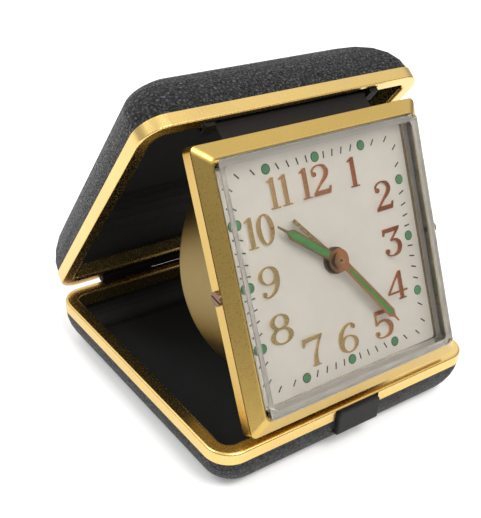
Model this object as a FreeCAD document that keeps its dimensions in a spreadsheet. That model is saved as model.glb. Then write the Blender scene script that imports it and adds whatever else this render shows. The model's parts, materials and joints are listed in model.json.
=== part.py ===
import FreeCAD, Part
import math
import os

# Folding travel alarm clock: a shallow base tray and a deep lid, hinged at the
# rear, and a square clock unit hinged inside the lid's front edge. The three
# stand as a triangle. Millimetres, +Z up, +X to the right of the dial, -Y the
# side that the dial faces. Origin: centre of the base's underside.

os.makedirs("parts", exist_ok=True)
doc = FreeCAD.newDocument("FoldingTravelAlarmClock")
V = FreeCAD.Vector

# ----------------------------------------------------------------- dimensions
sizes = doc.addObject("Spreadsheet::Sheet", "Sizes")
TABLE = [
    ("case_width", 80.0), ("case_depth", 79.8), ("case_corner", 6.4),
    ("base_height", 12.8), ("lid_height", 18.0),
    ("band_height", 3.1), ("rim_thickness", 3.8), ("rim_roll", 0.9), ("rim_skirt", 1.0),
    ("base_rim_round", 0.7), ("lid_rim_round", 0.35),
    ("base_cover_inset", 0.08), ("lid_cover_inset", 0.3), ("cover_thickness", 0.7), ("pan_thickness", 0.6),
    ("base_round_x", 7.6), ("base_round_y", 6.2), ("lid_round_x", 16.3), ("lid_round_y", 15.0),
    ("pad_thickness", 0.3),
    ("hinge_offset_y", 40.87), ("hinge_rise", 0.5), ("hinge_half_length", 26.0),
    ("hinge_knuckle_radius", 1.3), ("hinge_pin_radius", 0.6), ("hinge_running_gap", 0.05),
    ("hinge_leaf_thickness", 0.6), ("lid_knuckle_half", 9.6),
    ("open_angle", 52.89), ("lean_angle", 25.53), ("dial_y", -25.16), ("dial_rise", 31.51),
    ("bezel_half_width", 32.2), ("bezel_half_height", 32.3), ("bezel_back", -1.9),
    ("bezel_step", 1.5), ("bezel_lip", 3.98), ("lip_half_width", 29.05), ("lip_half_height", 29.05),
    ("opening_half_width", 28.8), ("opening_half_height", 28.8),
    ("crystal_half_width", 28.62), ("crystal_half_height", 28.62), ("crystal_front", 5.5),
    ("crystal_wall", 1.6), ("crystal_top", 1.2), ("crystal_round", 0.25), ("dial_thickness", 0.4), ("dial_half_width", 30.3), ("dial_half_height", 30.3),
    ("drum_radius", 29.9), ("drum_back", 20.5), ("drum_wall", 0.6), ("drum_edge", 2.0),
    ("back_cover_depth", 15.0), ("back_cover_thickness", 0.6),
    ("pivot_up", 35.41), ("pivot_back", 4.76), ("barrel_radius", 1.0), ("rod_radius", 0.5),
    ("barrel_half_length", 22.1), ("pivot_bracket_width", 2.46),
    ("dot_radius", 1.0), ("dot_square", 24.15), ("dot_thickness", 0.12),
    ("numeral_height", 6.95), ("numeral_relief", 0.45),
    ("collar_radius", 3.15), ("collar_height", 0.9), ("arbor_radius", 0.55),
    ("hour_tube_radius", 1.0), ("alarm_tube_radius", 1.5), ("tube_gap", 0.05),
    ("hand_thickness", 0.22), ("alarm_level", 1.15), ("hour_level", 1.85), ("minute_level", 2.55),
    ("minute_length", 23.3), ("hour_length", 18.95), ("alarm_length", 15.55),
    ("minute_angle", 142.8), ("hour_angle", 307.3), ("alarm_angle", 319.3),
    ("front_plate_top", -2.4), ("plate_thickness", 1.0), ("plate_radius", 26.5),
    ("back_plate_top", -12.6), ("pillar_radius", 1.3), ("pillar_circle", 23.5),
    ("barrel_drum_radius", 8.6), ("barrel_drum_height", 5.4), ("barrel_x", 13.0), ("barrel_v", -7.0),
    ("balance_radius", 6.2), ("balance_u", -13.0), ("balance_v", 14.0),
    ("key_arbor_radius", 1.2), ("key_span", 7.0), ("key_height", 4.2), ("knob_radius", 3.4),
    ("button_width", 13.2), ("button_top", 0.6), ("button_bottom", 7.2), ("button_proud", 1.2),
    ("screw_head_radius", 1.7), ("screw_head_height", 0.7), ("screw_back", 0.1),
]
for row, (alias, value) in enumerate(TABLE, start=1):
    sizes.set("A%d" % row, alias)
    sizes.set("B%d" % row, str(value))
    sizes.setAlias("B%d" % row, alias)
doc.recompute()
D = {alias: float(sizes.get(alias)) for alias, _ in TABLE}


def cell(alias):
    return "<<Sizes>>." + alias


HB = D["base_height"]
ROT_X = V(1, 0, 0)
# lid frame: closed position, z up from the parting plane; clock frame: x right,
# y up the dial, z out of the dial, origin at the dial's centre
hinge_local = V(0, D["hinge_offset_y"], D["hinge_rise"])
hinge_world = V(0, D["hinge_offset_y"], HB + D["hinge_rise"])
BASE = FreeCAD.Placement()
LID = FreeCAD.Placement(hinge_world, FreeCAD.Rotation(ROT_X, -D["open_angle"])).multiply(
    FreeCAD.Placement(hinge_local.negative(), FreeCAD.Rotation()))
CLOCK = FreeCAD.Placement(V(0, D["dial_y"], HB + D["dial_rise"]),
                          FreeCAD.Rotation(ROT_X, 90 - D["lean_angle"]))
nodes = []


def node(obj, label, place):
    obj.Label = label
    obj.Placement = place.multiply(obj.Placement)
    nodes.append(obj)
    return obj


def feature(label, shape, place):
    obj = doc.addObject("Part::Feature", "F_" + label)
    obj.Shape = shape
    return node(obj, label, place)


# ------------------------------------------------------------ primitive tools
def cylinder(name, radius, height, x=0.0, y=0.0, z=0.0, axis=None):
    obj = doc.addObject("Part::Cylinder", name)
    obj.setExpression("Radius", radius)
    obj.setExpression("Height", height)
    rot = FreeCAD.Rotation() if axis is None else FreeCAD.Rotation(V(0, 0, 1), axis)
    obj.Placement = FreeCAD.Placement(V(x, y, z), rot)
    return obj


def box(name, length, width, height, x=0.0, y=0.0, z=0.0):
    # centred on x and y, standing on z
    obj = doc.addObject("Part::Box", name)
    obj.setExpression("Length", length)
    obj.setExpression("Width", width)
    obj.setExpression("Height", height)
    doc.recompute()
    obj.Placement = FreeCAD.Placement(
        V(x - obj.Length.Value / 2, y - obj.Width.Value / 2, z), FreeCAD.Rotation())
    return obj


def cut(name, base, tool):
    obj = doc.addObject("Part::Cut", name)
    obj.Base = base
    obj.Tool = tool
    return obj


def fuse(name, items):
    obj = doc.addObject("Part::MultiFuse", name)
    obj.Shapes = items
    return obj


# ------------------------------------------------------------- body tools
def origin_plane(body, role):
    return [f for f in body.Origin.OriginFeatures if f.Role == role][0]


def new_body(name):
    return doc.addObject("PartDesign::Body", name)


def new_sketch(body, name, role="XY_Plane", offset=0.0):
    sk = body.newObject("Sketcher::SketchObject", name)
    sk.AttachmentSupport = [(origin_plane(body, role), "")]
    sk.MapMode = "FlatFace"
    sk.AttachmentOffset = FreeCAD.Placement(V(0, 0, offset), FreeCAD.Rotation())
    return sk


def circle(sk, radius, x=0.0, y=0.0):
    import Sketcher
    i = sk.addGeometry(Part.Circle(V(x, y, 0), V(0, 0, 1), 1.0), False)
    sk.addConstraint(Sketcher.Constraint("Radius", i, 1.0))
    sk.setExpression("Constraints[%d]" % (sk.ConstraintCount - 1), radius)
    if x == 0 and y == 0:
        sk.addConstraint(Sketcher.Constraint("Coincident", i, 3, -1, 1))
    else:
        sk.addConstraint(Sketcher.Constraint("DistanceX", -1, 1, i, 3, x))
        sk.addConstraint(Sketcher.Constraint("DistanceY", -1, 1, i, 3, y))
    return i


def rectangle(sk, width, height):
    import Sketcher
    pts = [V(-2, -1, 0), V(2, -1, 0), V(2, 1, 0), V(-2, 1, 0)]
    g = [sk.addGeometry(Part.LineSegment(pts[i], pts[(i + 1) % 4]), False) for i in range(4)]
    for i in range(4):
        sk.addConstraint(Sketcher.Constraint("Coincident", g[i], 2, g[(i + 1) % 4], 1))
    sk.addConstraint(Sketcher.Constraint("Horizontal", g[0]))
    sk.addConstraint(Sketcher.Constraint("Horizontal", g[2]))
    sk.addConstraint(Sketcher.Constraint("Vertical", g[1]))
    sk.addConstraint(Sketcher.Constraint("Vertical", g[3]))
    sk.addConstraint(Sketcher.Constraint("Symmetric", g[0], 1, g[1], 2, -1, 1))
    sk.addConstraint(Sketcher.Constraint("DistanceX", g[0], 1, g[0], 2, 4.0))
    sk.setExpression("Constraints[%d]" % (sk.ConstraintCount - 1), width)
    sk.addConstraint(Sketcher.Constraint("DistanceY", g[1], 1, g[1], 2, 2.0))
    sk.setExpression("Constraints[%d]" % (sk.ConstraintCount - 1), height)


def pad(body, sk, name, length, back=False):
    p = body.newObject("PartDesign::Pad", name)
    p.Profile = sk
    p.setExpression("Length", length)
    p.Reversed = back
    return p


def pocket(body, sk, name, length, reverse):
    p = body.newObject("PartDesign::Pocket", name)
    p.Profile = sk
    p.setExpression("Length", length)
    p.Reversed = reverse
    return p


def ring_body(name, outer, inner, length, offset=0.0, x=0.0, y=0.0):
    # a washer or tube standing on z = offset
    b = new_body(name)
    sk = new_sketch(b, name + "_ring", offset=offset)
    circle(sk, outer, x, y)
    if inner:
        circle(sk, inner, x, y)
    pad(b, sk, name + "_pad", length)
    return b


def turned_body(name, steps):
    # a turned arbor: steps of (radius expression, length expression, offset)
    b = new_body(name)
    for k, (radius, length, offset) in enumerate(steps):
        sk = new_sketch(b, "%s_s%d" % (name, k), offset=offset)
        circle(sk, radius)
        pad(b, sk, "%s_p%d" % (name, k), length)
    return b


# ------------------------------------------------------------- wire tools
def rrect(hx, hy, r, z):
    # a rounded rectangle with half sizes hx, hy
    k = r * (1 - math.sqrt(0.5))
    e = []
    c = [(hx - r, hy - r, hx - k, hy - k, 0), (-hx + r, hy - r, -hx + k, hy - k, 1),
         (-hx + r, -hy + r, -hx + k, -hy + k, 2), (hx - r, -hy + r, hx - k, -hy + k, 3)]
    arcs = []
    for cx, cy, mx, my, q in c:
        a0, a1 = math.radians(90 * q), math.radians(90 * (q + 1))
        p0 = V(cx + r * math.cos(a0), cy + r * math.sin(a0), z)
        p1 = V(cx + r * math.cos(a1), cy + r * math.sin(a1), z)
        arcs.append((p0, V(mx, my, z), p1))
    for i, (p0, pm, p1) in enumerate(arcs):
        e.append(Part.Arc(p0, pm, p1).toShape())
        e.append(Part.LineSegment(p1, arcs[(i + 1) % 4][0]).toShape())
    return Part.Wire(e)


def prism(hx, hy, r, z0, z1):
    return Part.Face(rrect(hx, hy, r, z0)).extrude(V(0, 0, z1 - z0))


def loft(wires):
    return Part.makeLoft(wires, True, True)


def cuboid(x0, x1, y0, y1, z0, z1):
    return Part.makeBox(x1 - x0, y1 - y0, z1 - z0, V(x0, y0, z0))


def solid_of(shape):
    # one clean solid where the shape is one piece
    try:
        shape = shape.removeSplitter()
    except Part.OCCError:
        pass
    return shape.Solids[0] if len(shape.Solids) == 1 else shape


HX, HY, RC = D["case_width"] / 2, D["case_depth"] / 2, D["case_corner"]


def pillow(height, rx, ry, out, spread, inset, sign):
    # the rounded outside of a tray, from the band's edge to its flat bottom;
    # sign +1 rises from z = 0, -1 falls from it
    g = -out - inset
    band, wires = D["band_height"], []
    for deg in (0, 12, 24, 36, 48, 60, 71, 81, 90):
        a = math.radians(deg)
        offx, offy = (rx - inset) * (1 - math.cos(a)), (ry - inset) * (1 - math.cos(a))
        z = band + (height - inset - band) * math.sin(a)
        r = max(RC + g + spread * (rx + ry) / 2 * (1 - math.cos(a)), 3.0)
        wires.append(rrect(HX + g - offx, HY + g - offy, r, sign * z))
    return loft(wires)


def tray(height, rx, ry, out, spread, edge, sign):
    t1, t2 = D["cover_thickness"], D["pan_thickness"]
    outer = pillow(height, rx, ry, out, spread, 0.0, sign)
    mid = pillow(height, rx, ry, out, spread, t1, sign)
    inner = pillow(height, rx, ry, out, spread, t1 + t2, sign)
    cover = solid_of(outer.cut(mid))
    pan = solid_of(mid.cut(inner))
    # rim: a band with a softened outer edge and a rolled inner edge, and a
    # skirt that stands inside the pan
    b, t, roll, skirt = D["band_height"], D["rim_thickness"], D["rim_roll"], D["rim_skirt"]
    g = -out - t1 - t2
    ring = prism(HX, HY, RC, 0, sign * b).cut(prism(HX - t, HY - t, RC - t, -sign, sign * (b + 1)))
    top = [e for e in ring.Edges if all(abs(v.Z) < 1e-6 for v in e.Vertexes)]
    lip = [e for e in top if e.BoundBox.XMax < HX - t + 0.01 and e.BoundBox.XMin > -HX + t - 0.01
           and e.BoundBox.YMax < HY - t + 0.01 and e.BoundBox.YMin > -HY + t - 0.01]
    ring = ring.makeFillet(roll, lip)
    lip = [e for e in ring.Edges if all(abs(v.Z) < 1e-6 for v in e.Vertexes)
           and max(abs(v.X) / HX for v in e.Vertexes) > 0.5
           and (max(abs(e.BoundBox.XMax), abs(e.BoundBox.XMin)) > HX - 0.01
                or max(abs(e.BoundBox.YMax), abs(e.BoundBox.YMin)) > HY - 0.01)]
    ring = ring.makeFillet(edge, lip)
    collar_ring = prism(HX + g - 0.02, HY + g - 0.02, RC + g, sign * b, sign * (b + skirt))
    collar_ring = collar_ring.cut(prism(HX - t, HY - t, RC - t, sign * (b - 1), sign * (b + skirt + 1)))
    # the skirt follows the inside of the pan, a hair clear of it
    collar_ring = collar_ring.common(pillow(height, rx, ry, out, spread, t1 + t2 + 0.04, sign))
    ring = ring.fuse(collar_ring)
    return cover, pan, ring


def rod(radius, x0, x1, y, z):
    return Part.makeCylinder(radius, x1 - x0, V(x0, y, z), V(1, 0, 0))


def moved(shape, x=0.0, y=0.0, z=0.0):
    s = shape.copy()
    s.translate(V(x, y, z))
    return s


# ---------------------------------------------------------------- base tray
BASE_UP = FreeCAD.Placement(V(0, 0, HB), FreeCAD.Rotation())
cover, pan, rim = tray(HB, D["base_round_x"], D["base_round_y"], D["base_cover_inset"], 0.07, D["base_rim_round"], -1)
hy, hz = D["hinge_offset_y"], D["hinge_rise"]
hl, kr, pr = D["hinge_half_length"], D["hinge_knuckle_radius"], D["hinge_pin_radius"]
gap, lt = D["hinge_running_gap"], D["hinge_leaf_thickness"]
ck = D["lid_knuckle_half"]
bw, b0, b1 = D["button_width"] / 2, -D["button_bottom"], -D["button_top"]
# rear edge lowered for the hinge, front edge notched for the release button
rim = rim.cut(cuboid(-hl - 0.3, hl + 0.3, HY - 2.2, HY + 3, hz - 1.6, 1))
rim = rim.cut(cuboid(-bw - 0.3, bw + 0.3, -HY - 1, -HY + 0.9, -6, b1 + 0.2))
rim = rim.cut(cuboid(-2.8, 2.8, -HY - 1, -HY + 6, -6, b1 - 0.8))
cover = cover.cut(cuboid(-bw - 0.3, bw + 0.3, -HY - 1, -HY + 2.2, b0 - 0.5, -1))
pan = pan.cut(cuboid(-2.8, 2.8, -HY - 1, -HY + 3, -3.6, -1))
feature("base_cover", solid_of(cover), BASE_UP)
feature("base_pan", pan, BASE_UP)
feature("base_rim", solid_of(rim), BASE_UP)
inside = HB - D["cover_thickness"] - D["pan_thickness"]
px = HX - D["base_round_x"] - 1.5
py = HY - D["base_round_y"] - 1.5
pad_body = new_body("B_base_pad")
sk = new_sketch(pad_body, "base_pad_outline")
rectangle(sk, "2 * (%s / 2 - %s - 1.5 mm)" % (cell("case_width") + " * 1 mm", cell("base_round_x") + " * 1 mm"),
          "2 * (%s / 2 - %s - 1.5 mm)" % (cell("case_depth") + " * 1 mm", cell("base_round_y") + " * 1 mm"))
pad(pad_body, sk, "base_pad_pad", cell("pad_thickness"))
pad_body.Placement = FreeCAD.Placement(V(0, 0, -inside), FreeCAD.Rotation())
node(pad_body, "base_floor_pad", BASE_UP)

# base half of the hinge: a leaf on the rear wall and two long knuckles
outer_leaf = cuboid(-hl, hl, HY, HY + lt, hz - 3.0, hz - 0.6)
knuckles = rod(kr, -hl, -ck - 0.15, hy, hz).fuse(rod(kr, ck + 0.15, hl, hy, hz))
strip = cuboid(-hl, -ck - 0.15, HY + 0.05, hy, hz - 1.2, hz).fuse(cuboid(ck + 0.15, hl, HY + 0.05, hy, hz - 1.2, hz))
leaf = outer_leaf.fuse(knuckles).fuse(strip).cut(rod(pr, -hl - 1, hl + 1, hy, hz))
leaf = leaf.cut(rod(kr + 0.12, -ck - 0.15, ck + 0.15, hy, hz))
feature("base_hinge_leaf", solid_of(leaf), BASE_UP)
pin = cylinder("hinge_pin_rod", cell("hinge_pin_radius"), "2 * " + cell("hinge_half_length") + " - 0.4",
               -hl + 0.2, hy, hz, V(1, 0, 0))
node(pin, "hinge_pin", BASE_UP)

# release button with its hook and its leaf spring
by = -HY - D["button_proud"]
button = cuboid(-bw, bw, by, -HY + 0.2, b0, b1)
button = button.makeFillet(1.2, [e for e in button.Edges if abs(e.Vertexes[0].Y - e.Vertexes[1].Y) > 1
                                 and abs(e.Vertexes[0].Z - b1) < 1e-6])
button = button.makeFillet(0.5, [e for e in button.Edges if all(abs(v.Y - by) < 1e-6 for v in e.Vertexes)])
stem = cuboid(-2.5, 2.5, -HY + 0.1, -HY + 5.2, -3.3, -1.7)
hook = cuboid(-2.5, 2.5, -HY + 4.5, -HY + 5.2, -3.3, -0.2)
feature("release_button", solid_of(button.fuse(stem).fuse(hook)), BASE_UP)
spring = cuboid(-8, 8, -HY + 6.0, -HY + 6.25, -4.4, -1.6)
foot1 = cuboid(-8, -6.4, -HY + 3.82, -HY + 6.0, -4.4, -3.9)
foot2 = cuboid(6.4, 8, -HY + 3.82, -HY + 6.0, -4.4, -3.9)
feature("button_spring", solid_of(spring.fuse(foot1).fuse(foot2)), BASE_UP)

# ---------------------------------------------------------------- lid
cover, pan, rim = tray(D["lid_height"], D["lid_round_x"], D["lid_round_y"], D["lid_cover_inset"], 0.05, D["lid_rim_round"], 1)
feature("lid_cover", cover, LID)
rim = rim.cut(cuboid(-hl - 0.3, hl + 0.3, HY - 3.2, HY + 3, -1, hz + 1.6))
# groove behind the lid's front edge for the clock's hinge
up, back, br, rr, bl = D["pivot_up"], D["pivot_back"], D["barrel_radius"], D["rod_radius"], D["barrel_half_length"]
pivot = CLOCK.multVec(V(0, up, -back))
pl = LID.inverse().multVec(pivot)
groove = cuboid(-bl - 2.8, bl + 2.8, -HY + 0.5, -HY + 6, -1, 7)
rim = rim.cut(groove.common(prism(HX - 1.05, HY - 1.05, RC - 1.05, -1, 7)))
print("clock pivot in the lid", pl)
rim = solid_of(rim)
feature("lid_pan", pan, LID)
feature("lid_rim", rim, LID)
leaf = cuboid(-hl, hl, HY, HY + lt, hz + 1.0, 3.6).cut(rod(kr + 0.12, -hl - 1, hl + 1, hy, hz))
leaf = leaf.fuse(cuboid(-ck, ck, HY, HY + lt, hz, 3.6)).fuse(rod(kr, -ck, ck, hy, hz))
leaf = leaf.cut(rod(pr + gap, -ck - 1, ck + 1, hy, hz))
feature("lid_hinge_leaf", solid_of(leaf), LID)
pad_body = new_body("B_lid_pad")
sk = new_sketch(pad_body, "lid_pad_outline")
rectangle(sk, "2 * (%s / 2 - %s - 1.5 mm)" % (cell("case_width") + " * 1 mm", cell("lid_round_x") + " * 1 mm"),
          "2 * (%s / 2 - %s - 1.5 mm)" % (cell("case_depth") + " * 1 mm", cell("lid_round_y") + " * 1 mm"))
pad(pad_body, sk, "lid_pad_pad", cell("pad_thickness"))
pad_body.Placement = FreeCAD.Placement(
    V(0, 0, D["lid_height"] - D["cover_thickness"] - D["pan_thickness"] - D["pad_thickness"]), FreeCAD.Rotation())
node(pad_body, "lid_floor_pad", LID)
catch = cuboid(-4.0, 4.0, -HY + 1.07, -HY + 1.58, 0.5, 5.0).fuse(cuboid(-4.0, 4.0, -HY + 1.4, -HY + 2.2, 0.5, 1.4))
catch = catch.cut(cuboid(-5, 5, -HY, -HY + 3, 3.0, 6))
feature("lid_catch", solid_of(catch), LID)
for side, label in ((-1, "pivot_bracket_left"), (1, "pivot_bracket_right")):
    x0 = side * (bl + 0.3)
    x1 = side * (bl + 0.3 + D["pivot_bracket_width"])
    b = cuboid(min(x0, x1), max(x0, x1), -HY + 1.7, -HY + 5.5, pl.z - 1.1, 4.0)
    b = b.cut(rod(rr, -HX, HX, pl.y, pl.z))
    feature(label, b, LID)
rod_obj = cylinder("clock_rod", cell("rod_radius"), "2 * (" + cell("barrel_half_length") + " + 2.2)",
                   -bl - 2.2, pl.y, pl.z, V(1, 0, 0))
node(rod_obj, "clock_hinge_rod", LID)

# ---------------------------------------------------------------- clock unit
bz = D["bezel_back"]
leaf = Part.Face(Part.makePolygon([V(0, 30.2, bz), V(0, 32.1, bz), V(0, up + 0.2, -back + br - 0.15),
                                   V(0, up - 0.9, -back - 0.35), V(0, 32.0, bz - 0.8), V(0, 30.2, bz - 0.8),
                                   V(0, 30.2, bz)])).extrude(V(2 * bl - 1.0, 0, 0))
leaf = moved(leaf, -bl + 0.5)
leaf = leaf.cut(rod(br, -HX, HX, up, -back))
feature("clock_hinge_leaf", solid_of(leaf), CLOCK)
barrel = rod(br, -bl, bl, up, -back).cut(rod(rr + gap, -HX, HX, up, -back))
feature("clock_hinge_barrel", barrel, CLOCK)

w2, h2 = D["bezel_half_width"], D["bezel_half_height"]
st, lip = D["bezel_step"], D["bezel_lip"]
body_outer = prism(w2, h2, 1.4, bz, st - 0.35)
body_outer = body_outer.fuse(prism(w2 - 0.35, h2 - 0.35, 1.2, st - 0.35, st))
frustum = Part.makeLoft([rrect(w2, h2, 1.4, st), rrect(D["lip_half_width"] + 0.25, D["lip_half_height"] + 0.25, 1.4, lip - 0.25),
                         rrect(D["lip_half_width"], D["lip_half_height"], 1.4, lip)], True, True)
frame = body_outer.fuse(frustum)
cave = prism(w2 - 1.15, h2 - 1.2, 0.8, bz - 1, st - 0.5)
funnel = Part.makeLoft([rrect(w2 - 1.15, h2 - 1.2, 0.8, st - 0.5), rrect(D["opening_half_width"], D["opening_half_height"], 2.0, lip - 1.2)], True, True)
window = prism(D["opening_half_width"], D["opening_half_height"], 2.0, lip - 1.25, lip + 1)
frame = frame.cut(cave).cut(funnel).cut(window)
sr = D["screw_head_radius"]
for side in (-1, 1):
    frame = frame.cut(Part.makeCylinder(0.7, 3.0, V(side * (w2 + 0.5), 0.0, -D["screw_back"]), V(-side, 0, 0)))
feature("bezel_frame", solid_of(frame), CLOCK)

cw, chh, cf, cwall = D["crystal_half_width"], D["crystal_half_height"], D["crystal_front"], D["crystal_wall"]
crystal = prism(cw, chh, 1.2, 0.06, cf)
crystal = crystal.makeFillet(D["crystal_round"], [e for e in crystal.Edges if all(abs(v.Z - cf) < 1e-6 for v in e.Vertexes)])
crystal = crystal.cut(prism(cw - cwall, chh - cwall, 1.0, 0, cf - D["crystal_top"]))
feature("crystal", solid_of(crystal), CLOCK)

dial = new_body("B_dial")
sk = new_sketch(dial, "dial_outline", offset=-D["dial_thickness"])
rectangle(sk, "2 * " + cell("dial_half_width"), "2 * " + cell("dial_half_height"))
pad(dial, sk, "dial_pad", cell("dial_thickness"))
sk = new_sketch(dial, "dial_hole")
circle(sk, cell("alarm_tube_radius") + " + 0.3")
pocket(dial, sk, "dial_centre", cell("dial_thickness"), False)
node(dial, "dial_plate", CLOCK)

# luminous dots on a square, on the radii of the hours
dots = []
sq = D["dot_square"]
for i in range(12):
    a = math.radians(30 * i)
    m = max(abs(math.sin(a)), abs(math.cos(a)))
    dots.append(cylinder("dot_%02d" % i, cell("dot_radius"), cell("dot_thickness"),
                         sq * math.sin(a) / m, sq * math.cos(a) / m, 0.0))
node(fuse("dot_group", dots), "luminous_dots", CLOCK)


# hour figures: raised, cut from strokes of changing width
def smooth(points, n=6):
    out = []
    p = [points[0]] + list(points) + [points[-1]]
    for i in range(1, len(p) - 2):
        for k in range(n):
            u = k / n
            q = []
            for c in range(3):
                a, b, d, e = p[i - 1][c], p[i][c], p[i + 1][c], p[i + 2][c]
                q.append(0.5 * (2 * b + (d - a) * u + (2 * a - 5 * b + 4 * d - e) * u * u + (3 * b - a - 3 * d + e) * u ** 3))
            out.append(q)
    out.append(list(points[-1]))
    return out


def stroke(points, n=6):
    # points are (x, y, width); returns the outline of the stroke
    s = smooth(points, n)
    left, right = [], []
    for i, (x, y, w) in enumerate(s):
        x0, y0, _ = s[max(i - 1, 0)]
        x1, y1, _ = s[min(i + 1, len(s) - 1)]
        l = math.hypot(x1 - x0, y1 - y0) or 1.0
        nx, ny = -(y1 - y0) / l, (x1 - x0) / l
        left.append((x + nx * w / 2, y + ny * w / 2))
        right.append((x - nx * w / 2, y - ny * w / 2))
    return left + right[::-1]


def ellipse(cx, cy, rx, ry, n=20):
    return [(cx + rx * math.cos(2 * math.pi * k / n), cy + ry * math.sin(2 * math.pi * k / n)) for k in range(n)]


GLYPHS = {
    "0": [("hole", ellipse(0, 0.5, 0.33, 0.5), ellipse(0, 0.5, 0.17, 0.455))],
    "1": [("poly", [(-0.07, 0), (0.07, 0), (0.07, 1.0), (-0.07, 0.97)]),
          ("poly", [(-0.18, 0), (0.18, 0), (0.18, 0.04), (-0.18, 0.04)]),
          ("poly", stroke([(-0.19, 0.87, 0.035), (-0.1, 0.92, 0.05), (0.0, 0.98, 0.05)], 3))],
    "2": [("poly", stroke([(-0.28, 0.74, 0.05), (-0.3, 0.84, 0.04), (-0.17, 0.95, 0.045), (0.02, 0.975, 0.05), (0.2, 0.91, 0.1),
                           (0.28, 0.74, 0.15), (0.2, 0.56, 0.13), (-0.03, 0.36, 0.07), (-0.34, 0.06, 0.045)], 4)),
          ("poly", ellipse(-0.24, 0.71, 0.085, 0.085, 12)),
          ("poly", [(-0.38, 0.0), (0.33, 0.0), (0.4, 0.24), (0.355, 0.24), (0.31, 0.15), (-0.22, 0.15)])],
    "3": [("poly", [(-0.38, 0.76), (-0.335, 0.76), (-0.3, 0.86), (0.33, 0.86), (0.4, 1.0), (-0.35, 1.0)]),
          ("poly", stroke([(0.35, 0.93, 0.05), (0.14, 0.73, 0.05), (-0.03, 0.57, 0.045)], 3)),
          ("poly", stroke([(-0.06, 0.55, 0.04), (0.12, 0.57, 0.07), (0.28, 0.46, 0.13), (0.32, 0.29, 0.15), (0.22, 0.1, 0.12),
                           (0.0, 0.025, 0.05), (-0.2, 0.05, 0.045), (-0.32, 0.17, 0.05)], 4)),
          ("poly", ellipse(-0.27, 0.21, 0.085, 0.085, 12))],
    "4": [("poly", [(0.1, 0.0), (0.24, 0.0), (0.24, 1.0), (0.17, 1.0), (0.1, 0.9)]),
          ("poly", [(0.02, 0), (0.34, 0), (0.34, 0.04), (0.02, 0.04)]),
          ("poly", [(-0.45, 0.25), (0.44, 0.25), (0.44, 0.31), (-0.45, 0.31)]),
          ("poly", stroke([(-0.43, 0.29, 0.045), (-0.12, 0.66, 0.045), (0.17, 0.985, 0.05)], 3))],
    "5": [("poly", [(-0.3, 0.86), (0.3, 0.86), (0.37, 1.0), (-0.27, 1.0)]),
          ("poly", [(-0.3, 0.5), (-0.255, 0.5), (-0.225, 0.9), (-0.27, 0.9)]),
          ("poly", stroke([(-0.28, 0.51, 0.04), (-0.12, 0.6, 0.06), (0.1, 0.6, 0.09), (0.29, 0.46, 0.14), (0.32, 0.28, 0.15), (0.22, 0.1, 0.12),
                           (0.0, 0.025, 0.05), (-0.22, 0.05, 0.045), (-0.33, 0.17, 0.05)], 4)),
          ("poly", ellipse(-0.28, 0.2, 0.085, 0.085, 12))],
    "6": [("hole", ellipse(0.0, 0.3, 0.39, 0.3), ellipse(0.02, 0.3, 0.24, 0.26)),
          ("poly", stroke([(-0.31, 0.3, 0.15), (-0.31, 0.52, 0.15), (-0.2, 0.78, 0.12), (0.02, 0.95, 0.06), (0.2, 0.97, 0.045), (0.31, 0.9, 0.045)], 4)),
          ("poly", ellipse(0.27, 0.85, 0.08, 0.08, 12))],
    "7": [("poly", [(-0.42, 0.72), (-0.375, 0.72), (-0.3, 0.85), (0.36, 0.9), (0.42, 1.0), (-0.4, 1.0)]),
          ("poly", stroke([(0.37, 0.97, 0.05), (0.22, 0.72, 0.06), (0.1, 0.5, 0.09), (0.03, 0.28, 0.14), (0.02, 0.0, 0.16)], 4)),
          ("poly", [(-0.14, 0), (0.18, 0), (0.18, 0.04), (-0.14, 0.04)])],
    "8": [("hole", ellipse(0.0, 0.745, 0.33, 0.255), ellipse(0.0, 0.755, 0.19, 0.205)),
          ("hole", ellipse(0.0, 0.275, 0.4, 0.275), ellipse(0.0, 0.27, 0.25, 0.225))],
}
GLYPHS["9"] = [(k,) + tuple([(-x, 1 - y) for x, y in c] for c in cs) for k, *cs in GLYPHS["6"]]


def glyph(ch, cx, cy, size, relief, sx):
    solids = []
    for kind, *curves in GLYPHS[ch]:
        wires = []
        for c in curves:
            pts = [V(cx + x * size * sx, cy + (y - 0.5) * size, 0.0) for x, y in c]
            wires.append(Part.makePolygon(pts + [pts[0]]))
        face = Part.Face(wires) if kind == "hole" else Part.Face(wires[0])
        if not face.isValid():
            face.fix(1e-6, 1e-6, 1e-6)
        solids.append(face.extrude(V(0, 0, relief)))
    s = solids[0]
    for o in solids[1:]:
        s = s.fuse(o)
    return s.removeSplitter()


FIGURES = [("1", -4.1, 18.86, 1.0), ("2", 0.27, 18.86, 1.0), ("1", 10.15, 18.6, 1.0), ("2", 18.1, 11.28, 1.0),
           ("3", 18.4, -0.2, 1.02), ("4", 17.5, -11.0, 1.0), ("5", 11.0, -18.75, 1.1), ("6", -0.26, -18.85, 1.06),
           ("7", -10.6, -18.7, 1.0), ("8", -18.42, -11.04, 1.12), ("9", -18.9, 0.0, 1.0), ("1", -21.1, 11.46, 1.0),
           ("0", -17.25, 11.46, 1.0), ("1", -13.29, 18.7, 1.0), ("1", -9.97, 18.7, 1.0)]
group = [glyph(ch, x, y, D["numeral_height"], D["numeral_relief"], sx) for ch, x, y, sx in FIGURES]
feature("hour_figures", Part.makeCompound([s for g in group for s in g.Solids]), CLOCK)

collar = ring_body("B_collar", cell("collar_radius"), cell("alarm_tube_radius") + " + " + cell("tube_gap"), cell("collar_height"))
node(collar, "centre_collar", CLOCK)


# hands: a frame with a luminous filling
def turned(points, deg):
    a = math.radians(-deg)
    return [(x * math.cos(a) - y * math.sin(a), x * math.sin(a) + y * math.cos(a)) for x, y in points]


def flat(points, z, thick):
    pts = [V(x, y, z) for x, y in points]
    return Part.Face(Part.makePolygon(pts + [pts[0]])).extrude(V(0, 0, thick))


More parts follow.
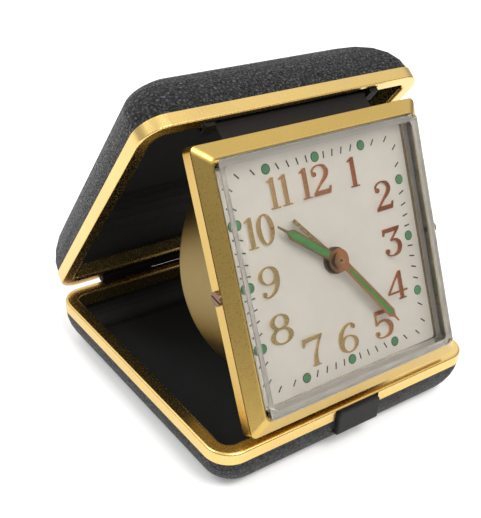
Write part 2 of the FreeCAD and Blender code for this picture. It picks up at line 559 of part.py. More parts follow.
def hand(label, length, neck, wide, r_wide, r0, hub, bore, level, deg, tip, e):
    t = D["hand_thickness"]
    shape = [(-neck / 2, 0.3), (-neck / 2, r0), (-wide / 2, r_wide), (-tip / 2, r_wide + 1.3), (-tip / 2 * 0.7, length),
             (tip / 2 * 0.7, length), (tip / 2, r_wide + 1.3), (wide / 2, r_wide), (neck / 2, r0), (neck / 2, 0.3)]
    fill = [(-neck / 2 + e, r0 + 0.3), (-wide / 2 + e, r_wide - 0.1), (-0.12, r_wide + 0.75), (0.12, r_wide + 0.75),
            (wide / 2 - e, r_wide - 0.1), (neck / 2 - e, r0 + 0.3)]
    body = flat(turned(shape, deg), level, t).fuse(Part.makeCylinder(hub, t, V(0, 0, level)))
    lume = flat(turned(fill, deg), level, t)
    body = body.cut(lume).cut(Part.makeCylinder(bore, t + 2, V(0, 0, level - 1)))
    feature(label, solid_of(body), CLOCK)
    feature(label + "_lume", lume, CLOCK)


hand("minute_hand", D["minute_length"], 1.95, 2.3, 20.3, 3.0, 1.95, D["arbor_radius"], D["minute_level"], D["minute_angle"], 0.55, 0.5)
hand("hour_hand", D["hour_length"], 2.35, 2.4, 14.9, 3.1, 2.8, D["hour_tube_radius"], D["hour_level"], D["hour_angle"], 0.6, 0.42)
t = D["hand_thickness"]
pts = [(-0.6, 0.5), (-0.42, D["alarm_length"]), (0.42, D["alarm_length"]), (0.6, 0.5)]
al = flat(turned(pts, D["alarm_angle"]), D["alarm_level"], t).fuse(Part.makeCylinder(2.0, t, V(0, 0, D["alarm_level"])))
al = al.cut(Part.makeCylinder(D["alarm_tube_radius"], 3, V(0, 0, 0)))
feature("alarm_hand", solid_of(al), CLOCK)

# motion work behind the dial
g = cell("tube_gap")
alarm_wheel = ring_body("B_alarm_tube", cell("alarm_tube_radius"), cell("hour_tube_radius") + " + " + g, "2.2", offset=-0.85)
sk = new_sketch(alarm_wheel, "alarm_wheel_disc", offset=-1.15)
circle(sk, "7.0")
circle(sk, cell("hour_tube_radius") + " + " + g)
pad(alarm_wheel, sk, "alarm_wheel_pad", "0.35")
node(alarm_wheel, "alarm_wheel", CLOCK)
hour_wheel = ring_body("B_hour_tube", cell("hour_tube_radius"), cell("arbor_radius") + " + " + g, "3.55", offset=-1.5)
sk = new_sketch(hour_wheel, "hour_wheel_disc", offset=-1.85)
circle(sk, "6.2")
circle(sk, cell("arbor_radius") + " + " + g)
pad(hour_wheel, sk, "hour_wheel_pad", "0.4")
node(hour_wheel, "hour_wheel", CLOCK)
arbor = turned_body("B_centre_arbor", [(cell("arbor_radius"), "20.2", -17.4)])
node(arbor, "centre_arbor", CLOCK)
cwheel = ring_body("B_centre_wheel", "8.5", cell("arbor_radius"), "0.5", offset=-4.6)
node(cwheel, "centre_wheel", CLOCK)
knob = ring_body("B_set_knob", cell("knob_radius"), cell("arbor_radius"), "3.2", offset=-20.2)
node(knob, "hand_set_knob", CLOCK)

# movement plates and pillars
fp, bp, pt, prr = D["front_plate_top"], D["back_plate_top"], D["plate_thickness"], D["plate_radius"]
plates = {}
holes = [(0, 0, 0.6), (-D["barrel_x"], D["barrel_v"], 1.3), (D["barrel_x"], D["barrel_v"], 1.3),
         (D["balance_u"], D["balance_v"], 0.45), (0.0, 12.5, 0.55), (9.0, 16.0, 0.5), (0.0, -18.0, 0.95), (17.0, 14.0, 2.4)]
for label, top in (("movement_front_plate", fp), ("movement_back_plate", bp)):
    b = new_body("B_" + label)
    sk = new_sketch(b, label + "_disc", offset=top - pt)
    circle(sk, cell("plate_radius"))
    pad(b, sk, label + "_pad", cell("plate_thickness"))
    sk = new_sketch(b, label + "_holes", offset=top)
    for x, y, r in holes:
        circle(sk, "%g" % r, x, y) if (x, y) != (0, 0) else circle(sk, "%g" % r)
    pocket(b, sk, label + "_bores", cell("plate_thickness"), False)
    node(b, label, CLOCK)
span = "(%s - %s - %s)" % (cell("front_plate_top"), cell("plate_thickness"), cell("back_plate_top"))
pc = D["pillar_circle"]
pillars = [cylinder("pillar_%d" % i, cell("pillar_radius"), span, x, y, bp)
           for i, (x, y) in enumerate(((pc, 0), (0, pc), (-pc, 0), (0, -pc)))]
node(fuse("pillar_group", pillars), "plate_pillars", CLOCK)
nuts = [cylinder("nut_%d" % i, cell("pillar_radius") + " + 0.5", "0.7", x, y, bp - pt - 0.7)
        for i, (x, y) in enumerate(((pc, 0), (0, pc), (-pc, 0), (0, -pc)))]
node(fuse("nut_group", nuts), "pillar_nuts", CLOCK)

# mainspring barrels with their winding arbors and keys
for label, x in (("time", D["barrel_x"]), ("alarm", -D["barrel_x"])):
    y = D["barrel_v"]
    b = turned_body("B_%s_barrel" % label, [])
    sk = new_sketch(b, label + "_barrel_drum", offset=-11.0)
    circle(sk, cell("barrel_drum_radius"))
    pad(b, sk, label + "_barrel_pad", cell("barrel_drum_height"))
    sk = new_sketch(b, label + "_barrel_arbor", offset=-17.0)
    circle(sk, cell("key_arbor_radius"))
    pad(b, sk, label + "_arbor_pad", "14.2")
    b.Placement = FreeCAD.Placement(V(x, y, 0), FreeCAD.Rotation())
    node(b, label + "_spring_barrel", CLOCK)
    hub = Part.makeCylinder(2.2, 4.2, V(x, y, -20.6))
    wing = cuboid(x - D["key_span"], x + D["key_span"], y - 0.5, y + 0.5, -20.6, -17.4)
    wing = wing.makeFillet(0.9, [e for e in wing.Edges if abs(e.Vertexes[0].X - e.Vertexes[1].X) < 1e-6 and abs(e.Vertexes[0].Z - e.Vertexes[1].Z) < 1e-6])
    key = hub.fuse(wing).cut(Part.makeCylinder(D["key_arbor_radius"], 10, V(x, y, -17.0 - 0.0)))
    key = key.cut(Part.makeCylinder(D["key_arbor_radius"], 1.0, V(x, y, -17.0)))
    feature(label + "_winding_key", solid_of(key), CLOCK)

# alarm-setting arbor and knob
b = turned_body("B_alarm_set", [("0.9", "14.9", -17.4)])
b.Placement = FreeCAD.Placement(V(0, -18.0, 0), FreeCAD.Rotation())
node(b, "alarm_set_arbor", CLOCK)
k2 = ring_body("B_alarm_knob", "2.8", "0.9", "2.8", offset=-19.9)
k2.Placement = FreeCAD.Placement(V(0, -18.0, 0), FreeCAD.Rotation())
node(k2, "alarm_set_knob", CLOCK)

# train: third wheel, escape wheel, balance with its staff
def wheel(label, x, y, r, z, z0, z1, ar):
    b = new_body("B_" + label)
    sk = new_sketch(b, label + "_staff", offset=z0)
    circle(sk, "%g" % ar)
    pad(b, sk, label + "_staff_pad", "%g" % (z1 - z0))
    sk = new_sketch(b, label + "_disc", offset=z)
    circle(sk, "%g" % r)
    pad(b, sk, label + "_disc_pad", "0.45")
    b.Placement = FreeCAD.Placement(V(x, y, 0), FreeCAD.Rotation())
    node(b, label, CLOCK)


wheel("third_wheel", 0.0, 12.5, 5.6, -8.4, -13.3, -2.7, 0.5)
wheel("escape_wheel", 9.0, 16.0, 4.2, -6.0, -13.3, -2.7, 0.45)
bu, bv, brr = D["balance_u"], D["balance_v"], D["balance_radius"]
rimw = Part.makeCylinder(brr, 0.6, V(bu, bv, -9.6)).cut(Part.makeCylinder(brr - 0.9, 0.6, V(bu, bv, -9.6)))
arm = cuboid(bu - brr + 0.5, bu + brr - 0.5, bv - 0.5, bv + 0.5, -9.6, -9.0)
staff = Part.makeCylinder(0.4, 10.6, V(bu, bv, -13.3))
feature("balance_wheel", solid_of(rimw.fuse(arm).fuse(staff)), CLOCK)
hs = Part.makeCylinder(3.0, 0.3, V(bu, bv, -10.9)).cut(Part.makeCylinder(2.7, 0.3, V(bu, bv, -10.9)))
hs = hs.fuse(cuboid(bu + 2.8, bu + 3.6, bv - 0.3, bv + 0.3, -12.6, -10.6))
feature("hairspring_and_stud", solid_of(hs), CLOCK)

# alarm hammer: a pivoted arm with a head that strikes the housing's wall
ham = Part.makeCylinder(1.2, 2.0, V(17.5, 7.0, -11.4)).fuse(cuboid(17.0, 18.0, 7.0, 17.5, -10.9, -9.9))
ham = ham.fuse(cuboid(16.2, 19.6, 16.2, 18.8, -11.6, -9.2)).cut(Part.makeCylinder(0.55, 6, V(17.5, 7.0, -13)))
feature("alarm_hammer", solid_of(ham), CLOCK)
node(cylinder("hammer_pin", "0.5", "9.2", 17.5, 7.0, -12.6), "hammer_pivot", CLOCK)

# housing: a round drum behind the frame, and its recessed back
r, db, dw, de = D["drum_radius"], D["drum_back"], D["drum_wall"], D["drum_edge"]
drum = Part.makeCylinder(r, db + bz, V(0, 0, -db))
drum = drum.makeFillet(de, [e for e in drum.Edges if len(e.Vertexes) == 1 and abs(e.Vertexes[0].Z + db) < 1e-6])
bc = D["back_cover_depth"]
drum = drum.cut(Part.makeCylinder(r - dw, bc + bz, V(0, 0, -bc)))
drum = drum.cut(Part.makeCylinder(r - dw - 1.5, db, V(0, 0, -db - 1)))
flange = prism(w2 - 1.25, h2 - 1.3, 0.7, bz, bz + 0.5).cut(Part.makeCylinder(r - dw, 2, V(0, 0, bz - 1)))
feature("drum_housing", solid_of(drum.fuse(flange)), CLOCK)
cover = Part.makeCylinder(r - dw, D["back_cover_thickness"], V(0, 0, -bc + 0.0))
for x, y, rad in ((0, 0, 1.2), (D["barrel_x"], D["barrel_v"], 1.6), (-D["barrel_x"], D["barrel_v"], 1.6), (0, -18.0, 1.3)):
    cover = cover.cut(Part.makeCylinder(rad, 3, V(x, y, -bc - 1)))
cover = cover.cut(cuboid(-4.6, 4.6, 11.2, 14.6, -bc - 1, -bc + 2)).cut(Part.makeCylinder(1.65, 3, V(17.0, 14.0, -bc - 1)))
feature("back_cover", cover, CLOCK)
# regulator lever in its slot and the alarm stop plunger
reg = Part.makeCylinder(2.6, 0.5, V(0, 8.6, -14.3)).fuse(cuboid(-0.6, 0.6, 8.6, 14.0, -14.3, -13.8)).fuse(cuboid(-0.6, 0.6, 12.9, 14.1, -16.4, -13.9))
feature("regulator_lever", solid_of(reg.cut(Part.makeCylinder(0.85, 3, V(0, 8.6, -15)))), CLOCK)
node(cylinder("regulator_boss", "0.8", "0.8", 0.0, 8.6, -14.4), "regulator_post", CLOCK)
plunger = Part.makeCylinder(1.6, 5.6, V(17.0, 14.0, -20.3)).fuse(Part.makeCylinder(2.2, 1.2, V(17.0, 14.0, -14.3)))
feature("alarm_stop_button", solid_of(plunger), CLOCK)

# side screws that hold the housing in the frame
screws = []
for side in (-1, 1):
    x = side * w2
    sb = -D["screw_back"]
    shank = Part.makeCylinder(0.7, 1.1, V(x, 0.0, sb), V(-side, 0, 0))
    head = Part.makeCylinder(sr, D["screw_head_height"], V(x, 0.0, sb), V(side, 0, 0))
    slot = Part.makeBox(0.6, 0.44, 4.0, V(-0.3, -0.22, -2.0))
    slot.rotate(V(0, 0, 0), V(1, 0, 0), 35)
    slot.translate(V(side * (w2 + D["screw_head_height"]), 0.0, sb))
    screws.append(solid_of(shank.fuse(head).cut(slot)))
feature("side_screws", Part.makeCompound(screws), CLOCK)

# ---------------------------------------------------------------- export
doc.recompute()
bad = []
for obj in doc.Objects:
    if "Invalid" in obj.State or "Error" in obj.State:
        bad.append("%s: %s" % (obj.Name, obj.State))
for obj in nodes:
    s = obj.Shape
    if s.isNull() or not s.isValid() or not s.Solids:
        bad.append("%s: shape" % obj.Label)
if len({o.Label for o in nodes}) != len(nodes):
    bad.append("labels repeat")
if bad:
    raise SystemExit("\n".join(bad))
for obj in nodes:
    obj.Shape.exportStep("parts/%s.step" % obj.Label)
print(len(nodes), "nodes written")
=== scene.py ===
import json
import math
import random

import bpy
import bmesh
from mathutils import Matrix, Vector


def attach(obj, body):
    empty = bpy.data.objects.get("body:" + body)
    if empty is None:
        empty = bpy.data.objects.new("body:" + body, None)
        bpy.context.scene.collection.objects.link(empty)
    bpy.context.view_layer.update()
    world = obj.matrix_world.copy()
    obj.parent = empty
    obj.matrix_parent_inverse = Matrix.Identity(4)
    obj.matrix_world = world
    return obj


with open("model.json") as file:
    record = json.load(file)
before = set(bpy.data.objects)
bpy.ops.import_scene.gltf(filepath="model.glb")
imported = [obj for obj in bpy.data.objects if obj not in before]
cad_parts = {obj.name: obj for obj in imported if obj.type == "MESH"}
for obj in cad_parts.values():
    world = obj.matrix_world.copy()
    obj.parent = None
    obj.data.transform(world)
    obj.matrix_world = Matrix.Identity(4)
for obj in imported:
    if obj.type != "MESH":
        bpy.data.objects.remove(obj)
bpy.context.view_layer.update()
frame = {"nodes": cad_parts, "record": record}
MM = 0.001

# ------------------------------------------------------------------ frames
HB = 12.8
LEAN, OPEN = math.radians(25.53), math.radians(52.89)
CLOCK = Matrix.Translation((0, -25.16 * MM, (HB + 31.51) * MM)) @ Matrix.Rotation(math.pi / 2 - LEAN, 4, "X") @ Matrix.Scale(MM, 4)
HW = Vector((0, 40.87, HB + 0.5))
LID = (Matrix.Scale(MM, 4) @ Matrix.Translation(HW) @ Matrix.Rotation(-OPEN, 4, "X") @ Matrix.Translation((0, -40.87, -0.5)))
BASE = Matrix.Scale(MM, 4) @ Matrix.Translation((0, 0, HB))


# --------------------------------------------------------------- materials
class Mat:
    """A node material built from a Principled shader and procedural textures."""

    def __init__(self, name, color=(0.8, 0.8, 0.8), rough=0.5, metal=0.0, **sockets):
        self.m = bpy.data.materials.new(name)
        self.m.use_nodes = True
        self.t = self.m.node_tree
        self.p = self.t.nodes["Principled BSDF"]
        self.set("Base Color", (*color, 1))
        self.set("Roughness", rough)
        self.set("Metallic", metal)
        for k, v in sockets.items():
            self.set(k.replace("_", " "), v)
        self.bump_in = None
        c = self.node("ShaderNodeTexCoord")
        self.coord = c.outputs["Object"]

    def set(self, name, value):
        self.p.inputs[name].default_value = value

    def node(self, kind, **props):
        n = self.t.nodes.new(kind)
        for k, v in props.items():
            setattr(n, k, v)
        return n

    def link(self, a, b):
        self.t.links.new(a, b)

    def noise(self, scale, detail=4, rough=0.55, stretch=None, kind="noise", distort=0.0):
        if kind == "noise":
            n = self.node("ShaderNodeTexNoise")
            n.inputs["Detail"].default_value = detail
            n.inputs["Roughness"].default_value = rough
            n.inputs["Distortion"].default_value = distort
            out = n.outputs["Fac"]
        else:
            n = self.node("ShaderNodeTexVoronoi", feature=kind)
            out = n.outputs["Distance"]
        n.inputs["Scale"].default_value = scale
        if stretch:
            mp = self.node("ShaderNodeMapping")
            mp.inputs["Scale"].default_value = stretch
            self.link(self.coord, mp.inputs["Vector"])
            self.link(mp.outputs["Vector"], n.inputs["Vector"])
        else:
            self.link(self.coord, n.inputs["Vector"])
        return out

    def ramp(self, fac, stops):
        r = self.node("ShaderNodeValToRGB")
        e = r.color_ramp.elements
        while len(e) < len(stops):
            e.new(0.5)
        for el, (pos, col) in zip(e, stops):
            el.position = pos
            el.color = (*col, 1) if len(col) == 3 else col
        self.link(fac, r.inputs["Fac"])
        return r.outputs["Color"]

    def rng(self, fac, a, b, lo=0.0, hi=1.0):
        n = self.node("ShaderNodeMapRange")
        n.inputs["From Min"].default_value = lo
        n.inputs["From Max"].default_value = hi
        n.inputs["To Min"].default_value = a
        n.inputs["To Max"].default_value = b
        self.link(fac, n.inputs["Value"])
        return n.outputs["Result"]

    def color(self, fac, stops):
        self.link(self.ramp(fac, stops), self.p.inputs["Base Color"])
        return self

    def roughness(self, fac, a, b, lo=0.3, hi=0.7):
        self.link(self.rng(fac, a, b, lo, hi), self.p.inputs["Roughness"])
        return self

    def bump(self, height, distance, strength=1.0):
        n = self.node("ShaderNodeBump")
        n.inputs["Distance"].default_value = distance
        n.inputs["Strength"].default_value = strength
        self.link(height, n.inputs["Height"])
        if self.bump_in:
            self.link(self.bump_in, n.inputs["Normal"])
        self.bump_in = n.outputs["Normal"]
        self.link(self.bump_in, self.p.inputs["Normal"])
        return self


def srgb(r, g, b):
    def f(c):
        c /= 255
        return c / 12.92 if c <= 0.04045 else ((c + 0.055) / 1.055) ** 2.4
    return (f(r), f(g), f(b))


def leather():
    m = Mat("leatherette", srgb(40, 41, 44), 0.5, 0.0)
    cells = m.noise(1050, kind="DISTANCE_TO_EDGE")
    pits = m.noise(1700, kind="F1")
    fine = m.noise(2400, 6, 0.65)
    wrinkle = m.noise(560, 8, 0.72, distort=2.4)
    # painted shade and highlight: the colour darkens in the creases between the pebbles and lightens on their
    # middles, mixed with random specks; the specular level follows the same mask
    speck = m.noise(1500, 3, 0.6, distort=0.6)
    crease_shade_speck = m.node("ShaderNodeMath", operation="MULTIPLY_ADD")
    m.link(cells, crease_shade_speck.inputs[0])
    crease_shade_speck.inputs[1].default_value = 0.7
    m.link(speck, crease_shade_speck.inputs[2])
    m.color(crease_shade_speck.outputs["Value"], [(0.44, srgb(10, 11, 12)), (0.58, srgb(20, 21, 23)), (0.70, srgb(36, 37, 40)), (0.86, srgb(66, 67, 70))])
    m.link(m.rng(crease_shade_speck.outputs["Value"], 0.15, 0.62, 0.42, 0.82), m.p.inputs["Specular IOR Level"])
    m.roughness(fine, 0.30, 0.52)
    m.bump(m.rng(cells, 0, 1, 0.0, 0.22), 0.00050, 1.0)
    m.bump(m.rng(pits, 1, 0, 0.0, 0.6), 0.00016, 0.8)
    m.bump(wrinkle, 0.00090, 1.0)
    m.bump(fine, 0.00010, 0.8)
    return m.m


def gold(name, rough=0.3, color=(0.86, 0.63, 0.24), streak=None, grain=0.6):
    m = Mat(name, color, rough, 1.0)
    n = m.noise(2200, 4, 0.6, stretch=streak)
    big = m.noise(60, 4, 0.6)
    m.color(big, [(0.3, tuple(c * 0.94 for c in color)), (0.7, tuple(min(1, c * 1.04) for c in color))])
    m.roughness(n, rough - 0.03, rough + 0.04)
    m.bump(n, 0.000004, grain)
    return m.m


def lacquer(name, color, rough=0.35, spec=0.5):
    m = Mat(name, color, rough, 0.0)
    m.set("Specular IOR Level", spec)
    n = m.noise(1800, 5, 0.6)
    m.roughness(n, rough - 0.06, rough + 0.1)
    m.color(m.noise(120, 4, 0.6), [(0.3, tuple(c * 0.85 for c in color)), (0.7, tuple(c * 1.15 for c in color))])
    m.bump(n, 0.00002, 0.5)
    return m.m


def steel(name, color=(0.58, 0.56, 0.53), rough=0.3):
    m = Mat(name, color, rough, 1.0)
    n = m.noise(3000, 4, 0.6, stretch=(1, 8, 1))
    m.roughness(n, rough - 0.08, rough + 0.1)
    m.bump(n, 0.000008, 0.6)
    return m.m


M = {
    "leatherette": leather(),
    "satin_gold": gold("satin_gold", 0.25, (0.72, 0.515, 0.19), grain=0.05),
    # painted shade: the bezel's gold is a darker copy of the satin gold, standing in for the shade on the bezel
    "bezel_gold_shaded": gold("bezel_gold_shaded", 0.29, (0.53, 0.365, 0.11), grain=0.05),
    # painted shade: the drum's gold is a much darker copy of the satin gold, standing in for the shade on the drum
    "drum_gold_shaded": gold("drum_gold_shaded", 0.42, (0.225, 0.16, 0.058), grain=0.5),
    "black_lacquer": lacquer("black_lacquer", srgb(25, 24, 23), 0.62),
    "hinge_black": lacquer("hinge_black", srgb(22, 18, 17), 0.65, 0.2),
    "flock": lacquer("flock", srgb(23, 23, 24), 0.9),
    "black_plastic": lacquer("black_plastic", srgb(24, 24, 25), 0.55, 0.25),
    "steel": steel("steel"),
    "bronze": steel("bronze", (0.17, 0.105, 0.065), 0.32),
    "dark_steel": steel("dark_steel", (0.10, 0.095, 0.09), 0.4),
    "movement_brass": gold("movement_brass", 0.32, (0.70, 0.53, 0.26), streak=(1, 9, 1)),
    "collar_bronze": gold("collar_bronze", 0.30, (0.20, 0.12, 0.07)),
    "alarm_brass": gold("alarm_brass", 0.26, (0.55, 0.40, 0.20), grain=0.4),
}
# painted reflection: the figures shade from gold on the left of the dial to copper towards the right and the top,
# set by world position
m = Mat("gilt_figures", (0.62, 0.36, 0.16), 0.22, 1.0)
sep = m.node("ShaderNodeSeparateXYZ")
m.link(m.coord, sep.inputs["Vector"])
reflection_gradient_pos = m.node("ShaderNodeMath", operation="MULTIPLY_ADD")
m.link(sep.outputs["Z"], reflection_gradient_pos.inputs[0])
reflection_gradient_pos.inputs[1].default_value = 0.45
m.link(sep.outputs["X"], reflection_gradient_pos.inputs[2])
m.color(m.rng(reflection_gradient_pos.outputs["Value"], 0, 1, 0.0, 0.040), [(0.0, (0.80, 0.60, 0.28)), (0.42, (0.80, 0.53, 0.24)), (0.62, (0.68, 0.31, 0.14)), (1.0, (0.58, 0.19, 0.09))])
m.roughness(m.noise(4000, 4, 0.6), 0.16, 0.3)
m.bump(m.noise(2500, 3, 0.5), 0.00001, 0.6)
M["gilt_figures"] = m.m
# painted shade and reflection: the hands and the hub are dark bronze left of the dial centre and bright copper to
# the right of it, set by world position
m = Mat("gilt_hands", (0.6, 0.27, 0.12), 0.34, 1.0)
sep = m.node("ShaderNodeSeparateXYZ")
m.link(m.coord, sep.inputs["Vector"])
m.color(m.rng(sep.outputs["X"], 0, 1, -0.006, 0.006), [(0.0, (0.34, 0.23, 0.10)), (0.36, (0.30, 0.17, 0.08)), (0.52, (0.62, 0.30, 0.12)), (1.0, (0.58, 0.21, 0.11))])
m.roughness(m.noise(4000, 4, 0.6), 0.28, 0.42)
m.bump(m.noise(3500, 4, 0.6), 0.00001, 0.6)
M["gilt_hands"] = m.m
# painted shade: a dark brown material for the figures' edges, standing in for the shade along their relief
m = Mat("figure_edge", (0.10, 0.06, 0.035), 0.4, 0.6)
m.color(m.noise(3000, 4, 0.6), [(0.3, (0.07, 0.045, 0.03)), (0.7, (0.14, 0.085, 0.05))])
m.bump(m.noise(4000, 3, 0.5), 0.000006, 0.5)
M["figure_edge"] = m.m
m = Mat("ivory_dial", srgb(214, 207, 194), 0.42)
m.color(m.noise(140, 4, 0.6), [(0.3, srgb(211, 205, 193)), (0.7, srgb(217, 211, 200))])
m.bump(m.noise(4000, 4, 0.6), 0.000006, 0.5)
M["ivory_dial"] = m.m
m = Mat("luminous", srgb(84, 140, 92), 0.75)
m.color(m.noise(3500, 5, 0.7), [(0.3, srgb(56, 108, 66)), (0.7, srgb(92, 146, 98))])
m.bump(m.noise(5000, 5, 0.7), 0.00004, 0.8)
M["luminous"] = m.m
m = Mat("hand_lume", srgb(82, 150, 70), 0.7)
m.color(m.noise(3500, 5, 0.7), [(0.3, srgb(54, 112, 48)), (0.7, srgb(86, 150, 74))])
m.bump(m.noise(5000, 5, 0.7), 0.00004, 0.8)
M["hand_lume"] = m.m
m = Mat("acrylic", (1, 1, 1), 0.0, 0.0, Transmission_Weight=1.0, IOR=1.49)
m.bump(m.noise(60, 1, 0.3), 0.000001, 0.3)
M["acrylic"] = m.m
m = Mat("dial_print", srgb(14, 13, 13), 0.5)
m.color(m.noise(3000, 4, 0.6), [(0.3, srgb(9, 9, 9)), (0.7, srgb(20, 19, 18))])
M["dial_print"] = m.m

m = Mat("lume_edge", srgb(40, 62, 44), 0.6)
m.color(m.noise(3000, 4, 0.6), [(0.3, srgb(32, 50, 36)), (0.7, srgb(50, 74, 54))])
M["lume_edge"] = m.m

slots = {s["node"]: s["material_slot"] for s in frame["record"]["subparts"]}
CHOICE = {
    "drum_housing": "drum_gold_shaded", "back_cover": "drum_gold_shaded", "bezel_frame": "bezel_gold_shaded",
    "base_hinge_leaf": "hinge_black", "lid_hinge_leaf": "hinge_black", "clock_hinge_leaf": "hinge_black",
    "clock_hinge_barrel": "hinge_black", "pivot_bracket_left": "hinge_black", "pivot_bracket_right": "hinge_black",
    "lid_catch": "hinge_black", "clock_hinge_rod": "dark_steel", "hinge_pin": "dark_steel",
    "side_screws": "bronze", "centre_collar": "collar_bronze", "alarm_hand": "alarm_brass", "minute_hand_lume": "hand_lume", "hour_hand_lume": "hand_lume",
}
for name, obj in frame["nodes"].items():
    obj.data.materials.clear()
    obj.data.materials.append(M[CHOICE.get(name, slots[name])])


def soften(name, width, segments=2, angle=30):
    # a small rounding on the sharp edges of a node
    b = frame["nodes"][name].modifiers.new("soften", "BEVEL")
    b.width = width * MM
    b.segments = segments
    b.limit_method = "ANGLE"
    b.angle_limit = math.radians(angle)
    b.harden_normals = False


# ------------------------------------------------------------------ pieces
def add_mesh(name, verts, faces, space, body, mat, smooth=False, ref=None):
    me = bpy.data.meshes.new(name)
    me.from_pydata([space @ Vector(v) for v in verts], [], faces)
    me.validate()
    me.update()
    ob = bpy.data.objects.new(name, me)
    bpy.context.scene.collection.objects.link(ob)
    me.materials.append(M[mat])
    if smooth:
        me.polygons.foreach_set("use_smooth", [True] * len(me.polygons))
    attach(ob, body)
    return ob


# --------------------------------------------------- printing on the dial
def prisms(items, z0, z1):
    # flat outlines raised from z0 to z1, joined in one mesh
    v, f = [], []
    for pts in items:
        k, n = len(v), len(pts)
        v += [(x, y, z0) for x, y in pts] + [(x, y, z1) for x, y in pts]
        f += [tuple(range(k + n, k + 2 * n)), tuple(range(k + n - 1, k - 1, -1))]
        f += [(k + i, k + (i + 1) % n, k + n + (i + 1) % n, k + n + i) for i in range(n)]
    return v, f


def disc(cx, cy, rad, n=32):
    return [(cx + rad * math.cos(2 * math.pi * i / n), cy + rad * math.sin(2 * math.pi * i / n)) for i in range(n)]


def square_spot(k, half=24.15):
    a = math.radians(6 * k)
    m = max(abs(math.sin(a)), abs(math.cos(a)))
    return half * math.sin(a) / m, half * math.cos(a) / m


ticks = []
for k in range(60):
    if k % 5:
        x, y = square_spot(k)
        a = math.radians(6 * k)
        ux, uy = math.sin(a), math.cos(a)
        L, w = 0.82, 0.17
        ticks.append([(x - ux * L + uy * w, y - uy * L - ux * w), (x + ux * L + uy * w, y + uy * L - ux * w),
                      (x + ux * L - uy * w, y + uy * L + ux * w), (x - ux * L - uy * w, y - uy * L + ux * w)])
for t in ticks:
    area2 = sum(t[i][0] * t[(i + 1) % 4][1] - t[(i + 1) % 4][0] * t[i][1] for i in range(4))
    if area2 < 0:
        t.reverse()
v, f = prisms(ticks, 0.004, 0.04)
add_mesh("minute_ticks", v, f, CLOCK, "clock", "dial_print")
v, f = prisms([disc(*square_spot(k), 1.2) for k in range(0, 60, 5)], 0.004, 0.03)
add_mesh("dot_borders", v, f, CLOCK, "clock", "lume_edge")


def lathe(name, profile, space, body, mat, n=64, centre=(0, 0)):
    # a turned piece about the local z axis; profile of (radius, z)
    v, f = [], []
    for rad, z in profile:
        for i in range(n):
            a = 2 * math.pi * i / n
            v.append((centre[0] + rad * math.cos(a), centre[1] + rad * math.sin(a), z))
    for j in range(len(profile) - 1):
        for i in range(n):
            f.append((j * n + i, j * n + (i + 1) % n, (j + 1) * n + (i + 1) % n, (j + 1) * n + i))
    f.append(tuple(range((len(profile) - 1) * n, len(profile) * n)))
    f.append(tuple(range(n - 1, -1, -1)))
    ob = add_mesh(name, v, f, space, body, mat, smooth=True)
    return ob


# the riveted end of the minute arbor, with its small dark centre
lathe("hub_rivet", [(0.72, 2.775), (0.72, 2.81), (0.66, 2.84), (0.46, 2.85), (0.38, 2.83), (0.36, 2.79)],
      CLOCK, "minute", "gilt_hands")
lathe("hub_centre", [(0.35, 2.80), (0.34, 2.815), (0.2, 2.822), (0.05, 2.822)], CLOCK, "minute", "dark_steel", n=24)
soften("hour_figures", 0.24, 2, 40)
for part in ("minute_hand", "hour_hand", "alarm_hand"):
    soften(part, 0.05, 2, 40)
soften("side_screws", 0.12, 2, 40)
soften("bezel_frame", 0.10, 2, 28)
soften("release_button", 0.9, 4, 40)

# -------------------------------------------------------------- the setting
sc = bpy.context.scene
floor_me = bpy.data.meshes.new("floor")
R = 1.6
floor_me.from_pydata([(-R, -R, 0), (R, -R, 0), (R, R, 0), (-R, R, 0)], [], [(0, 1, 2, 3)])
floor = bpy.data.objects.new("floor", floor_me)
sc.collection.objects.link(floor)
fm = Mat("paper_floor", (0.86, 0.86, 0.86), 0.8)
fm.set("Emission Color", (1.0, 1.0, 1.0, 1))
fm.set("Emission Strength", 0.14)
fm.color(fm.noise(60, 4, 0.6), [(0.3, (0.84, 0.84, 0.84)), (0.7, (0.87, 0.87, 0.87))])
floor_me.materials.append(fm.m)

world = bpy.data.worlds.new("studio")
world.use_nodes = True
wt = world.node_tree
bg = wt.nodes["Background"]
tc = wt.nodes.new("ShaderNodeTexCoord")
sx = wt.nodes.new("ShaderNodeSeparateXYZ")
wt.links.new(tc.outputs["Generated"], sx.inputs["Vector"])


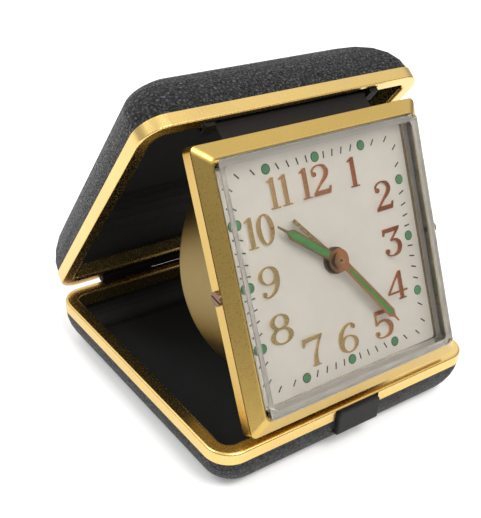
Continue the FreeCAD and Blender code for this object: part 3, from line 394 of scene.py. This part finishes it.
def wmap(src, lo, hi, a, b):
    n = wt.nodes.new("ShaderNodeMapRange")
    n.interpolation_type = "SMOOTHSTEP"
    for k, val in (("From Min", lo), ("From Max", hi), ("To Min", a), ("To Max", b)):
        n.inputs[k].default_value = val
    wt.links.new(src, n.inputs["Value"])
    return n.outputs["Result"]


def wmath(op, a, b):
    n = wt.nodes.new("ShaderNodeMath")
    n.operation = op
    wt.links.new(a, n.inputs[0])
    wt.links.new(b, n.inputs[1])
    return n.outputs["Value"]


# a light tent: bright overhead and behind, dim at the level of the dial in front
up = wmap(sx.outputs["Z"], 0.15, 0.70, 0.26, 1.02)
behind = wmap(sx.outputs["Y"], -0.10, 0.60, 0.0, 0.45)
wt.links.new(wmath("ADD", up, behind), bg.inputs["Strength"])
bg.inputs["Color"].default_value = (1.0, 0.99, 0.975, 1)
sc.world = world


def area(name, loc, target, size, power, color=(1, 1, 1)):
    l = bpy.data.lights.new(name, "AREA")
    l.shape = "RECTANGLE"
    l.size, l.size_y = size
    l.energy = power
    l.color = color
    o = bpy.data.objects.new(name, l)
    o.location = loc
    d = Vector(target) - Vector(loc)
    o.rotation_euler = d.to_track_quat("-Z", "Y").to_euler()
    sc.collection.objects.link(o)
    return o


area("key", (0.05, -0.42, 0.62), (0, -0.01, 0.04), (0.42, 0.30), 4.2, (1.0, 0.99, 0.97))
area("rim", (-0.40, 0.20, 0.55), (0, 0, 0.06), (0.25, 0.25), 1.2)

cam = bpy.data.cameras.new("camera")
cam.lens = 60.746
cam.sensor_width = 36.0
cam.clip_start = 0.01
cam.shift_x = 0.000245
cam.shift_y = 43.115 / 518
co = bpy.data.objects.new("camera", cam)
right = Vector((0.810454558, -0.583268799, 0.054414302))
down = Vector((-0.278876981, -0.465844744, -0.839771578))
forward = Vector((0.515161177, 0.665421808, -0.540206238))
rot = Matrix((right, -down, -forward)).transposed().to_4x4()
co.matrix_world = Matrix.Translation((-0.124448159, -0.152094323, 0.144478989)) @ rot
sc.collection.objects.link(co)
sc.camera = co
sc.view_settings.view_transform = "Standard"
